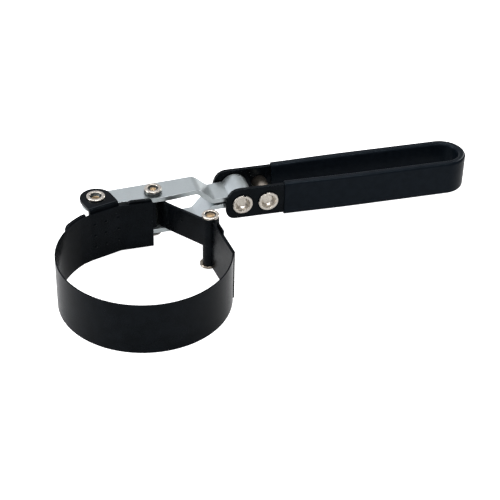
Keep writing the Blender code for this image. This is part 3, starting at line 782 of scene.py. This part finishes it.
# ---------------------------------------------------------------- rivets, collars and tubes
def rim_profile(head, thickness, top, dish, edge_share, lip):
    """The part that both kinds of head share: the dish's lip, the rim's round edge and its underside."""
    edge = thickness * edge_share
    points = [tuple(p) for p in arc((dish + lip, top - lip), lip, 165, 90, 25)]
    points += [tuple(p) for p in arc((head - edge, top - edge), edge, 90, 0, 18)]
    return points + [(head, top - thickness + 0.15), (head - 0.15, top - thickness)]


def dished(head, thickness, top, dish, floor, depth):
    """A head with a convex rim and a dish that slopes to a flat floor."""
    lip = 0.3
    points = [(0.0, top - depth), (floor * 0.9, top - depth), (floor, top - depth + 0.25),
              (dish - 0.45, top - thickness * 1.1), (dish, top - lip)]
    return points + rim_profile(head, thickness, top, dish, 0.42, lip)


def domed(head, thickness, top, dish, dome):
    """A head with a ring groove round a low dome."""
    lip = 0.22
    points = [(0.0, top - 0.12), (dome * 0.35, top - 0.16), (dome * 0.7, top - 0.32),
              (dome * 0.92, top - 0.52), (dome, top - 0.75), (dome + 0.12, top - 0.82),
              (dish - 0.12, top - 0.78), (dish, top - lip)]
    return points + rim_profile(head, thickness, top, dish, 0.4, lip)


def make_rivet(name, centre, axis, upper, lower, shank, body, node, recess=0, groove=0):
    """Two heads, given as profiles from the axis outwards, on a shank.

    Within the radius recess the faces take the recess's metal, and from the radius groove on the dark steel,
    which there is painted shade and grime in the head's groove.
    """
    upper = upper + [(shank, upper[-1][1])]
    lower = [(radius, -along) for radius, along in lower + [(shank, lower[-1][1])]]
    bm = turned_bmesh(upper + lower[::-1], centre, axis)
    rivet = add_piece(name, bm, NICKEL, body, (node,), smooth=38)
    materials = rivet.data.materials
    materials.append(RECESS)
    materials.append(STEEL_AND_PAINTED_GROOVE_SHADE)
    middle = Vector(centre)
    turn = 1 if axis == "Y" else 2
    for polygon in rivet.data.polygons:
        place = in_loop_frame(polygon.center) - middle
        place[turn] = 0
        # the ring from the radius groove to the radius recess is dark steel: painted shade and grime in the
        # head's groove
        if place.length < recess:
            polygon.material_index = materials.find((STEEL_AND_PAINTED_GROOVE_SHADE if place.length > groove else RECESS).name)
    return rivet


def split_rim(rivet, centre, angles):
    """Small splits in the rolled rim of a handle rivet's near head."""
    start = 4.9                       # the radius that they begin at
    half_angle, left_over = 3, 0.3    # how wide each is, and the share of the rim's width that it leaves
    for vertex in rivet.data.vertices:
        place = in_loop_frame(vertex.co) - Vector(centre)
        radius = math.hypot(place.x, place.z)
        turn = math.degrees(math.atan2(place.z, place.x))
        near = min(abs((turn - angle + 180) % 360 - 180) for angle in angles)
        if place.y < 0 and radius > start and near < half_angle:
            squeeze = (start + (radius - start) * left_over) / radius
            vertex.co = LOOP + (Vector(centre) + Vector((place.x * squeeze, place.y, place.z * squeeze))) * MM


def make_tube(name, centre, axis, inner, outer, half, material, body, node):
    """A tube or a collar with chamfered edges; half is half its length."""
    chamfer = 0.3
    profile = [(inner, -half), (outer - chamfer, -half), (outer, chamfer - half), (outer, half - chamfer),
               (outer - chamfer, half), (inner, half)]
    add_piece(name, turned_bmesh(profile, centre, axis), material, body, (node,), smooth=50)


def make_band_rivet():
    """Its lower head takes a darker, browner nickel, sits beside the axis and stands below the band's rim."""
    bottom, top = (in_loop_frame(corner).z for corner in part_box("band_rivet"))
    centre = (BAND_PIN.x, BAND_PIN.y, (bottom + top) / 2)
    half = (top - bottom) / 2
    upper = domed(head=4.9, thickness=1.2, top=half, dish=3.2, dome=2.5)
    lower = domed(head=4.9, thickness=1.6, top=half, dish=3.2, dome=2.5)
    rivet = make_rivet("band_end_rivet", centre, "Z", upper, lower, 2.6, "band_end", "band_rivet",
                       recess=3.15, groove=2.4)
    beside_axis = Vector((-0.9, 0.2, 0)) * MM
    for vertex in rivet.data.vertices:
        if vertex.co.z < LOOP.z - 0.2 * MM:
            vertex.co += beside_axis
    rivet.data.materials.append(DARK_BROWN_NICKEL)
    for polygon in rivet.data.polygons:
        if polygon.center.z < LOOP.z:
            polygon.material_index = rivet.data.materials.find(DARK_BROWN_NICKEL.name)


def make_fasteners():
    pivot = (PIVOT.x, PIVOT.y, MID_HEIGHT)
    link = (LINK_PIN.x, LINK_PIN.y, MID_HEIGHT)
    swivel = (SWIVEL.x, SWIVEL.y, MID_HEIGHT)
    rear = (REAR.x, REAR.y, MID_HEIGHT)
    ear_head = dished(head=5.2, thickness=1.0, top=15.35, dish=3.3, floor=2.4, depth=2.1)
    make_rivet("pivot_rivet", pivot, "Z", ear_head, ear_head, 3.0, "anchored_loop", "lever_pivot_rivet",
               recess=3.3, groove=2.3)
    upper = domed(head=4.9, thickness=1.0, top=15.15, dish=3.0, dome=1.8)
    lower = domed(head=4.4, thickness=0.9, top=14.95, dish=3.0, dome=1.8)
    make_rivet("mid_rivet", link, "Z", upper, lower, 3.0, "lever", "link_rivet", recess=3.0, groove=1.75)
    arm_head = dished(head=5.9, thickness=1.0, top=13.1, dish=4.2, floor=3.1, depth=2.7)
    for name, place, node, splits in (("front_handle_rivet", swivel, "swivel_rivet", (76, 180)),
                                      ("back_handle_rivet", rear, "rear_handle_rivet", (106, 170))):
        rivet = make_rivet(name, place, "Y", arm_head, arm_head, 3.7, "handle", node)
        split_rim(rivet, place, splits)
    make_band_rivet()
    collar_height = 13.1              # of each collar's middle, from the middle height
    for name, side, outer, node in (("upper_collar", 1, 5.1, "upper_link_collar"),
                                    ("lower_collar", -1, 4.6, "lower_link_collar")):
        place = (LINK_PIN.x, LINK_PIN.y, MID_HEIGHT + side * collar_height)
        make_tube(name, place, "Z", 3.2, outer, 0.95, STEEL_AND_PAINTED_GROOVE_SHADE, "lever", node)
    make_tube("pivot_tube", pivot, "Z", 3.3, 4.6, 8.8, STEEL_AND_PAINTED_GROOVE_SHADE, "lever", "lever_pivot_spacer")
    make_tube("swivel_tube", swivel, "Y", 4.0, 4.6, 9.1, STEEL_AND_PAINTED_GROOVE_SHADE, "handle", "swivel_bush")
    # the rear tube's dark brown nickel is painted shade between the arms
    make_tube("rear_tube", rear, "Y", 4.0, 4.5, 9.1, DARK_BROWN_NICKEL, "handle", "rear_spacer_tube")


# ---------------------------------------------------------------- floor, lights and camera
def make_floor():
    """A grey floor that is white to the camera alone: its emission is for camera rays."""
    size, gap = 6.0, 0.0003
    corners = [(-size, -size, 0), (size, -size, 0), (size, size, 0), (-size, size, 0)]
    mesh = bpy.data.meshes.new("floor")
    mesh.from_pydata(corners, [], [(0, 1, 2, 3)])
    floor = bpy.data.objects.new("floor", mesh)
    floor.location.z = -gap
    bpy.context.scene.collection.objects.link(floor)
    pale = node_material("pale_floor", (0.6, 0.6, 0.6), metallic=0.0, roughness=0.9, specular=0.1)
    shader = pale.node_tree.nodes["Principled BSDF"]
    shader.inputs["Emission Color"].default_value = (1, 1, 1, 1)
    path = pale.node_tree.nodes.new("ShaderNodeLightPath")
    pale.node_tree.links.new(path.outputs["Is Camera Ray"], shader.inputs["Emission Strength"])
    mesh.materials.append(pale)


def add_area(name, place, size, power):
    """A white rectangle of light that faces the origin."""
    data = bpy.data.lights.new(name, "AREA")
    data.shape = "RECTANGLE"
    data.size, data.size_y = size
    data.energy = power
    light = bpy.data.objects.new(name, data)
    bpy.context.scene.collection.objects.link(light)
    light.location = place
    light.rotation_euler = (-Vector(place)).to_track_quat("-Z", "Y").to_euler()


def add_ramp(world, value, stops):
    """Greys over a direction's coordinate, which runs from -1 to 1; stops are (coordinate, grey)."""
    nodes = world.node_tree.nodes
    links = world.node_tree.links
    ranged = nodes.new("ShaderNodeMapRange")
    ranged.inputs["From Min"].default_value = -1.0
    links.new(value, ranged.inputs["Value"])
    ramp = nodes.new("ShaderNodeValToRGB")
    elements = ramp.color_ramp.elements
    while len(elements) < len(stops):
        elements.new(0.5)
    for element, (coordinate, grey) in zip(elements, stops):
        element.position = (coordinate + 1) / 2
        element.color = (grey, grey, grey * 1.03, 1)
    links.new(ranged.outputs["Result"], ramp.inputs["Fac"])
    return ramp.outputs["Color"]


def light_scene():
    """A sky that darkens overhead and to the right, with four soft lights."""
    world = bpy.data.worlds.new("studio")
    world.use_nodes = True
    nodes = world.node_tree.nodes
    links = world.node_tree.links
    place = nodes.new("ShaderNodeTexCoord")
    split = nodes.new("ShaderNodeSeparateXYZ")
    links.new(place.outputs["Generated"], split.inputs["Vector"])
    height = add_ramp(world, split.outputs["Z"], [(-0.9, 0.9), (0.0, 1.0), (0.55, 0.60), (0.85, 0.25)])
    side = add_ramp(world, split.outputs["X"], [(-0.1, 1.3), (0.2, 0.95), (0.5, 0.40)])
    both = nodes.new("ShaderNodeMix")
    both.data_type = "RGBA"
    both.blend_type = "MULTIPLY"
    both.inputs["Factor"].default_value = 1.0
    links.new(height, both.inputs["A"])
    links.new(side, both.inputs["B"])
    links.new(both.outputs["Result"], nodes["Background"].inputs["Color"])
    bpy.context.scene.world = world
    add_area("overhead", (-0.1, 0.45, 1.1), size=(1.1, 0.5), power=9)
    add_area("front_strip", (0.0, -0.45, 1.0), size=(0.9, 0.10), power=8)
    add_area("left", (-0.9, 0.1, 0.5), size=(0.3, 0.6), power=6)
    add_area("right_back", (0.8, 0.6, 0.6), size=(0.25, 0.5), power=5)


def place_camera():
    data = bpy.data.cameras.new("camera")
    data.sensor_width = 36
    data.lens = 101.42
    data.clip_start = 0.01
    camera = bpy.data.objects.new("camera", data)
    bpy.context.scene.collection.objects.link(camera)
    yaw, down, roll = math.radians(-16.0), math.radians(35.25), math.radians(1.57)
    turn = Matrix.Rotation(yaw, 4, "Z") @ Matrix.Rotation(math.pi / 2 - down, 4, "X")
    turn = turn @ Matrix.Rotation(roll, 4, "Z")
    place = LOOP + Vector((-114.2, -601.5, 464.4)) * MM
    camera.matrix_world = Matrix.Translation(place) @ turn
    bpy.context.scene.camera = camera


make_band()
add_band_weld_marks()
make_bracket()
make_plate("top_lever_plate", 1, "upper_lever_plate")
make_plate("bottom_lever_plate", -1, "lower_lever_plate")
make_strap()
make_handle_frame()
make_grip()
make_fasteners()
make_floor()
light_scene()
place_camera()
bpy.context.scene.view_settings.view_transform = "Standard"
